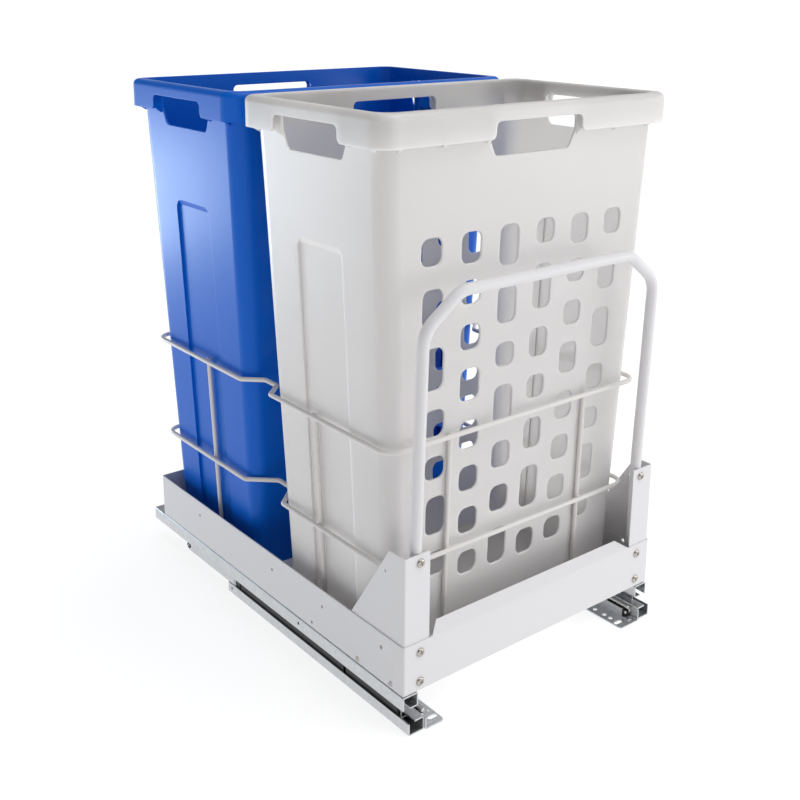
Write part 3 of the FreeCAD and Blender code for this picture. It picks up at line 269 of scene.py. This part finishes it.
# %% Finish for each material slot
finish_of_slot = {
    "white_powder_coat": tray_paint,
    "white_coated_wire": wire_paint,
    "zinc_screw": screw_zinc,
    "galvanised_steel": slide_steel,
    "bright_steel": pin_steel,
    "black_plastic": nylon,
    "black_rubber": rubber,
    "white_basket_plastic": white_plastic,
    "blue_basket_plastic": blue_plastic,
}
slot_of_node = {part["node"]: part["material_slot"] for part in frame["record"]["subparts"]}
for node_name, solid in frame["nodes"].items():
    solid.data.materials.clear()
    solid.data.materials.append(finish_of_slot[slot_of_node[node_name]])
print("CAD solids dressed:", len(frame["nodes"]))

# %% [markdown]
# ## Surfaces on a grid
# A tube, a ring and a screw head are all one thing: points on a grid of rows and columns, closed in
# one or both directions. Quads join neighbours on the grid. The volume that the quads enclose comes out
# negative when they face inwards, and then they are turned over, so that faces always point outwards.

# %% Grid to mesh
def grid_quads(rows, columns, close_rows, close_columns):
    """Quads between neighbours of a grid; a closed direction joins its last line to its first."""
    r = np.arange(rows if close_rows else rows - 1)[:, None]
    c = np.arange(columns if close_columns else columns - 1)[None, :]
    corners = [((r + i) % rows) * columns + (c + j) % columns for i, j in ((0, 0), (0, 1), (1, 1), (1, 0))]
    return np.stack(np.broadcast_arrays(*corners), axis=-1).reshape(-1, 4)


def signed_volume(points, quads):
    """Six times the enclosed volume: the sum of a . (b x c) + a . (c x d) over quads a, b, c, d."""
    a, b, c, d = (points[quads[:, k]] for k in range(4))
    return (np.einsum("ij,ij->i", a, np.cross(b, c)) + np.einsum("ij,ij->i", a, np.cross(c, d))).sum()


def place_mesh(name, points, faces, finish, stands_for=()):
    """Puts points and faces into a smooth mesh that rides with the tray, for the CAD nodes it redraws."""
    mesh = bpy.data.meshes.new(name)
    mesh.from_pydata(points.tolist(), [], faces)
    mesh.polygons.foreach_set("use_smooth", np.ones(len(mesh.polygons), bool))
    mesh.materials.append(finish)
    made = bpy.data.objects.new(name, mesh)
    bpy.context.scene.collection.objects.link(made)
    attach(made, "tray_carriage")
    if stands_for:
        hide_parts(*stands_for)
    print(name, "faces:", len(mesh.polygons))


def place_ring(name, grid, finish, stands_for):
    """A grid closed both ways: a wire loop, or a tube whose outside runs back along its inside."""
    points = grid.reshape(-1, 3)
    quads = grid_quads(*grid.shape[:2], True, True)
    if signed_volume(points, quads) < 0:
        quads = quads[:, ::-1]
    place_mesh(name, points, quads.tolist(), finish, stands_for)

# %% [markdown]
# ## Many small pieces in one mesh
# Posts, weld beads and screw heads come in sets of equal grids. Each is closed round its columns, and
# its first and last row are so narrow that one flat face closes them. The faces are found once and
# repeated with a shift in their numbering, which is cheaper than one object for every screw.

# %% Set of capped grids
def place_set(name, grids, finish, stands_for=()):
    """Copies of a grid closed round its columns, each with a flat cap on its first and last row."""
    rows, columns = grids[0].shape[:2]
    quads = grid_quads(rows, columns, False, True)[:, [0, 3, 2, 1]]
    first_cap = np.arange(columns)
    last_cap = ((rows - 1) * columns + first_cap)[::-1]
    if signed_volume(grids[0].reshape(-1, 3), quads) < 0:
        quads, first_cap, last_cap = quads[:, ::-1], first_cap[::-1], last_cap[::-1]
    faces = []
    for copy in range(len(grids)):
        shift = copy * rows * columns
        faces += (quads + shift).tolist() + [(first_cap + shift).tolist(), (last_cap + shift).tolist()]
    place_mesh(name, np.concatenate([g.reshape(-1, 3) for g in grids]), faces, finish, stands_for)

# %% [markdown]
# ## Bent wire
# The guards and the handle are round stock bent over rollers: straight runs joined by arcs. The centre
# line comes first, as corner points with a bend radius. Each corner is cut back by r / tan(half the
# corner angle) on both runs, and an arc fills the cut. A circle carried along that line makes the wire.

# %% Centre line with round bends
def bent_line(corners, radii, steps, closed):
    """Points along straight runs and arcs. An arc point is middle + r (cos t * out + sin t * along)."""
    count = len(corners)
    line = [] if closed else [corners[:1]]
    turning = range(count) if closed else range(1, count - 1)
    for k in turning:
        here = corners[k]
        a = corners[k - 1] - here
        b = corners[(k + 1) % count] - here
        a, b = a / np.linalg.norm(a), b / np.linalg.norm(b)
        half = math.acos(np.clip(a @ b, -1, 1)) / 2
        r = radii[k if closed else k - 1]
        bisector = (a + b) / np.linalg.norm(a + b)
        middle = here + bisector * r / math.sin(half)
        along = (b - a) / np.linalg.norm(b - a)
        t = np.linspace(-(math.pi / 2 - half), math.pi / 2 - half, steps)[:, None]
        line.append(middle + r * (-bisector * np.cos(t) + along * np.sin(t)))
    if not closed:
        line.append(corners[-1:])
    return np.concatenate(line)


def square_directions(line, reference, closed):
    """Side and up directions square to the line: side = tangent x reference, up = side x tangent."""
    if closed:
        tangent = np.roll(line, -1, axis=0) - np.roll(line, 1, axis=0)
    else:
        tangent = np.gradient(line, axis=0)
    tangent /= np.linalg.norm(tangent, axis=1, keepdims=True)
    side = np.cross(tangent, reference)
    side /= np.linalg.norm(side, axis=1, keepdims=True)
    return side, np.cross(side, tangent)


def carried_circle(line, side, up, radius, sides):
    """Grid of circles: centre + radius (cos u * side + sin u * up)."""
    u = np.linspace(0, 2 * math.pi, sides, endpoint=False)[None, :, None]
    radius = np.broadcast_to(radius, len(line))[:, None, None]
    return line[:, None] + radius * (np.cos(u) * side[:, None] + np.sin(u) * up[:, None])

# %% [markdown]
# ## The U handle
# It is a 12 mm steel tube, open at its feet, screwed behind the two corner brackets. It stands upright
# to just above the brackets, leans 2 degrees forward, and turns into the top run over two bends.
# The wall is shown by carrying a second, smaller circle back along the same line and closing the loop,
# so the feet end in a real ring of steel.

# %% Handle tube
handle_radius, handle_wall = 6.0 * mm, 1.2 * mm
right_leg = [(160, 8.7, 8), (160, 8.7, 158), (160, 1.234, 366.5), (117, 0.036, 400)]
left_leg = [(-x, y, z) for x, y, z in right_leg[::-1]]
handle_bends = np.array([400, 30, 30, 30, 30, 400]) * mm
handle_line = bent_line(in_frame(right_leg + left_leg), handle_bends, steps=14, closed=False)
side, up = square_directions(handle_line, (0.0, 1.0, 0.0), closed=False)
tube_outside = carried_circle(handle_line, side, up, handle_radius, sides=40)
tube_inside = carried_circle(handle_line, side, up, handle_radius - handle_wall, sides=40)[::-1]
place_ring("handle_tube", np.concatenate([tube_outside, tube_inside]), tray_paint,
           ["handle"])

# %% [markdown]
# ## Guard wires
# Two closed wires run round both baskets and dip into the gap between them on each side, which keeps
# the baskets apart. Each is drawn as its corners: along the right side from front to rear with the dip
# in the middle, and back along the left side as the mirror image.

# %% Guard wires
def guard_corners(z, side_x, front, rear, dip_x, middle, inner, outer):
    """Corners of one guard: the dip goes in over outer to inner on both sides of its middle."""
    right = [(side_x, front), (side_x, middle - outer), (dip_x, middle - inner),
             (dip_x, middle + inner), (side_x, middle + outer), (side_x, rear)]
    return in_frame([(x, y, z) for x, y in right + [(-x, y) for x, y in right[::-1]]])


upper_guard_z, lower_guard_z = 242.5, 117.5
guard_radius = 2.6 * mm
guard_bends = np.array([17, 6, 6, 6, 6, 17] * 2) * mm
guards = {
    "upper": guard_corners(upper_guard_z, side_x=177.10, front=29.61, rear=499.89,
                           dip_x=156.4, middle=267.5, inner=11.5, outer=31.0),
    "lower": guard_corners(lower_guard_z, side_x=171.50, front=33.13, rear=496.37,
                           dip_x=142.3, middle=264.75, inner=13.0, outer=40.0),
}
for level, corners in guards.items():
    line = bent_line(corners, guard_bends, steps=12, closed=True)
    side, up = square_directions(line, (0.0, 0.0, 1.0), closed=True)
    place_ring(level + "_guard_wire", carried_circle(line, side, up, guard_radius, sides=24),
               wire_paint, [level + "_guard_ring"])

# %% [markdown]
# ## Posts
# Eight thinner posts stand inside the guards on the floor of the tray. Each leans with the wall of the
# basket it stands at. A post is a straight wire whose top end is rounded by the coating: its radius is
# constant along the body and falls as a quarter circle over the cap, so one line of widths gives both.
# The cap is one wire radius high, which is about a hundredth of the post.

# %% Guard posts
def basket_half(axis, z):
    """Half width (axis 0) or half depth (axis 1) of a basket wall at height z, a straight taper in mm."""
    low, high = ((160.3, 185.4), (93.8, 109.58))[axis]
    floor_z, taper_height = 1.2, 561.2
    return low + (high - low) * (z - floor_z) / taper_height


def post_places():
    """Foot, top and outward direction of each post: two at the front, two at the rear, two per side."""
    front_basket, rear_basket = 138.2, 391.3
    end_gap, side_gap = 2.9, 0.9
    heights = (1.25, 244.0)
    places = []
    for x in (-96, 96):
        for way, middle in ((-1, front_basket), (1, rear_basket)):
            ends = [(x, middle + way * (basket_half(1, z) + end_gap), z) for z in heights]
            places.append((*in_frame(ends), np.array([0.0, way, 0.0])))
    for y in (158, 380):
        for way in (-1, 1):
            ends = [(way * (basket_half(0, z) + side_gap), y, z) for z in heights]
            places.append((*in_frame(ends), np.array([way, 0.0, 0.0])))
    return places


post_radius = 2.5 * mm
quarter = np.linspace(0, math.pi / 2, 8)
cap_share = 0.0103
rise = np.concatenate([[0.0, 0.0], np.linspace(0, 0.985, 12)[2:], 1 - cap_share * (1 - np.sin(quarter))])
width = np.concatenate([[0.0], np.ones(11), np.cos(quarter)])
posts = []
for foot, top, _ in post_places():
    line = foot + (top - foot) * rise[:, None]
    straight = np.tile((top - foot) / np.linalg.norm(top - foot), (len(rise), 1))
    side = np.cross(straight, (0.0, 1.0, 0.0))
    side /= np.linalg.norm(side, axis=1, keepdims=True)
    radius = post_radius * np.maximum(width, 0.002)
    posts.append(carried_circle(line, side, np.cross(side, straight), radius, sides=20))
place_set("guard_posts", posts, wire_paint, ["guard_uprights"])

# %% [markdown]
# ## Weld beads
# Every post is welded to both guards. Under the coating each weld shows as a small soft swelling, so
# each crossing gets a flattened ball that fills the corner between post and wire.

# %% Weld beads
polar = np.linspace(0.02, math.pi - 0.02, 11)[:, None]
turn = np.linspace(0, 2 * math.pi, 18, endpoint=False)[None, :]
ball = np.stack([np.sin(polar) * np.cos(turn), np.sin(polar) * np.sin(turn),
                 np.cos(polar) * np.ones_like(turn)], axis=-1)
bead_thick, bead_wide, bead_high = 1.6, 3.1, 3.3
bead_outward = 2.4 * mm
beads = []
for foot, top, outward in post_places():
    for guard_z in (upper_guard_z, lower_guard_z):
        share = (in_frame((0, 0, guard_z))[2] - foot[2]) / (top[2] - foot[2])
        crossing = foot + (top - foot) * share
        size = np.where(np.abs(outward) > 0, bead_thick, bead_wide) * mm
        size[2] = bead_high * mm
        beads.append(crossing + outward * bead_outward + ball * size)
place_set("guard_weld_beads", beads, wire_paint)

# %% [markdown]
# ## Screws
# A pan head is a low dome with a cross driven into it. Both come from one height over the disc:
# dome(r) = H (1 - (r / R)^4)^(1/2), less the cross, which is two narrow bars that fade out at their
# rims. The rows of the grid run from under the head, round its rim and in to the middle of the dome.

# %% Shape of a screw head
def screw_head(radius, height, arm, blade, depth):
    """Grid of one head on z = 0 that points along +z: height over the disc is dome(r) - depth * cross."""
    turn = np.linspace(0, 2 * math.pi, 72, endpoint=False)[None, :]
    over_the_dome = radius * np.cos(np.linspace(0.02, math.pi / 2 - 0.004, 30))
    r = np.concatenate([[0.004 * radius], [radius], over_the_dome])[:, None]
    dome = height * np.sqrt(np.clip(1 - (r / radius) ** 4, 0, 1))
    x, y = r * np.cos(turn), r * np.sin(turn)

    def bar(across, along):
        """One bar of the cross: 1 inside the blade's width and arm's length, with smooth rims."""
        edge = np.clip((blade / 2 - np.abs(across)) / (0.25 * blade) + 0.5, 0, 1)
        end = np.clip((arm - np.abs(along)) / (0.3 * blade), 0, 1)
        return edge * edge * (3 - 2 * edge) * end * end * (3 - 2 * end)

    cross = np.maximum(bar(x, y), bar(y, x))
    dome[:2] = 0.0
    cross[:2] = 0.0
    return np.stack([x, y, dome - depth * cross], axis=-1)


def set_on(head, points, out, turns):
    """Copies of a head, each turned by its own angle and set on a point with +z along out."""
    out = np.array(out, float)
    across = np.cross(out, (0.0, 0.0, 1.0))
    other = np.cross(out, across)
    made = []
    for point, turn in zip(points, turns):
        a = across * math.cos(turn) + other * math.sin(turn)
        made.append(point + head[..., :1] * a + head[..., 1:2] * np.cross(out, a) + head[..., 2:] * out)
    return made


pan_head = screw_head(radius=4.7 * mm, height=2.35 * mm, arm=2.5 * mm, blade=1.0 * mm, depth=1.3 * mm)
flat_head = screw_head(radius=3.2 * mm, height=0.78 * mm, arm=1.8 * mm, blade=0.8 * mm, depth=0.5 * mm)
print("rows and turns of a head:", pan_head.shape[:2])

# %% [markdown]
# ## Where the screws sit
# One pan head per side holds the handle through the flange of its bracket, and two per side hold the
# bracket to the front wall. Flat heads sit in the tray's sides. A fitter never stops two screws
# at the same angle, so each cross is turned differently.

# %% Screws in place
tray_half, flange_face = 181, 1.2
bracket_points = in_frame([(x, flange_face, 138.2) for x in (-160, 160)])
front_points = in_frame([(x, 0, z) for x in (-160, 160) for z in (43.0, 10.8)])
place_set("bracket_pan_heads", set_on(pan_head, bracket_points, (0, -1, 0), (0.4, 1.0)),
          screw_zinc, ["handle_screws"])
place_set("front_pan_heads", set_on(pan_head, front_points, (0, -1, 0), (0.2, 0.9, 1.2, 0.5)),
          screw_zinc, ["front_wall_screws"])
side_heads = []
for way in (-1, 1):
    side_points = in_frame([(way * tray_half, y, z) for y, z in ((75.3, 5.3), (20.6, 5.8))])
    side_heads += set_on(flat_head, side_points, (way, 0, 0), (0.3, 0.8))
place_set("side_flat_heads", side_heads, screw_zinc, ["bracket_side_screws"])

# %% [markdown]
# ## Camera
# The photograph was taken from the front left, a little above the unit's rim, with the optical axis
# above the middle of the picture, so a small downward shift keeps the uprights nearly parallel.
# Place, direction and focal length were worked out from the corners of the tray and of the rims.

# %% Camera
camera_data = bpy.data.cameras.new("camera")
camera = bpy.data.objects.new("camera", camera_data)
bpy.context.scene.collection.objects.link(camera)
camera_data.lens = 50.373
camera_data.sensor_width = 36.0
camera_data.shift_y = -0.15
camera_data.clip_start = 0.05
camera_data.clip_end = 500.0
camera.location = (-0.77674, -0.99477, 0.70635)
camera.rotation_euler = (math.radians(90 - 14.639), math.radians(-0.367), math.radians(-38.515))
bpy.context.scene.camera = camera
print("camera in mm:", [round(v / mm) for v in camera.location])

# %% [markdown]
# ## Floor
# The unit stands on a white sweep. In a studio such a floor is lit by itself until it is plain white, and
# it throws that light back at the walls of the unit. Here the floor glows by itself and reflects only
# about a third of the other light, so it stays white and keeps just a faint shadow round the slides.

# %% Floor
floor_half = 200.0
floor_corners = [(x * floor_half, y * floor_half, 0) for x, y in ((-1, -1), (1, -1), (1, 1), (-1, 1))]
floor_mesh = bpy.data.meshes.new("studio_floor")
floor_mesh.from_pydata(floor_corners, [], [(0, 1, 2, 3)])
floor = bpy.data.objects.new("studio_floor", floor_mesh)
bpy.context.scene.collection.objects.link(floor)
floor_finish, _, floor_shader, _ = new_finish("pale_studio_floor")
floor_shader.inputs["Base Color"].default_value = linear("#A4A4A4")
floor_shader.inputs["Roughness"].default_value = 0.9
floor_shader.inputs["Emission Color"].default_value = linear("#FFFFFF")
floor_shader.inputs["Emission Strength"].default_value = 0.75
floor_mesh.materials.append(floor_finish)
print("floor:", 2 * floor_half, "m wide")

# %% [markdown]
# ## Sky
# The room is brighter on the right than on the left, which leaves the long left side of the unit
# softly shaded. The strength of the sky rises with the direction toward (0.8, -0.6), the front right.
# At the horizon it is white like the floor and fades into the room over the lowest 14 degrees.

# %% World
world = bpy.data.worlds.new("pale_studio")
world.use_nodes = True
sky = world.node_tree
toward = add(sky, "ShaderNodeTexCoord").outputs["Object"]
height = add(sky, "ShaderNodeSeparateXYZ", links={"Vector": toward})
rightness = add(sky, "ShaderNodeVectorMath", {"operation": "DOT_PRODUCT"}, {1: (0.8, -0.6, 0.0)},
                {0: toward})
room = add(sky, "ShaderNodeMapRange", {},
           {"From Min": -0.8, "From Max": 0.8, "To Min": 0.12, "To Max": 0.60},
           {"Value": rightness.outputs["Value"]})
above_horizon = add(sky, "ShaderNodeMapRange", {"interpolation_type": "SMOOTHSTEP"},
                    {"From Min": 0.0, "From Max": 0.24}, {"Value": height.outputs["Z"]})
strength = add(sky, "ShaderNodeMix", {"data_type": "FLOAT"}, {2: 1.0},
               {0: above_horizon.outputs["Result"], 3: room.outputs["Result"]})
sky.links.new(strength.outputs[0], sky.nodes["Background"].inputs["Strength"])
sky.nodes["Background"].inputs["Color"].default_value = linear("#FFFFFF")
bpy.context.scene.world = world
bpy.context.scene.view_settings.view_transform = "Standard"
print("world:", world.name)

# %% [markdown]
# ## Lights
# A very large, soft light stands high in front on the right and reaches into the baskets. A panel in
# front on the right brightens the front walls. A bluish strip behind on the left stands where the left
# wall of the blue basket mirrors it toward the camera: it draws the pale sheen down that wall.

# %% Lights
def aim(lamp, place, target):
    """Puts a lamp at place and turns its -Z axis toward target."""
    lamp.location = place
    back = np.array(place, float) - np.array(target, float)
    tilt = math.atan2(math.hypot(back[0], back[1]), back[2])
    lamp.rotation_euler = (tilt, 0.0, math.atan2(back[0], -back[1]))


def add_light(name, kind, place, target, power, width):
    """A sun whose width is its angle in degrees, or a square panel whose width is in metres."""
    light = bpy.data.lights.new(name, kind)
    light.energy = power
    if kind == "SUN":
        light.angle = math.radians(width)
    else:
        light.size = width
    lamp = bpy.data.objects.new(name, light)
    bpy.context.scene.collection.objects.link(lamp)
    aim(lamp, place, target)
    print(name, "power:", power)
    return lamp


add_light("high_front_light", "SUN", (0.9, -0.8, 3.6), (0, 0, 0), power=1.5, width=60)
strip = add_light("rear_left_strip", "AREA", (-0.60, 1.50, 0.19), (-0.19, 0.15, 0.19), power=7.5, width=0.4)
strip.data.shape = "RECTANGLE"
strip.data.size_y = 0.32
strip.data.color = linear("#D6EBFF")[:3]
add_light("front_right_panel", "AREA", (1.3, -1.3, 0.5), (0, 0, 0.2), power=6, width=0.8)
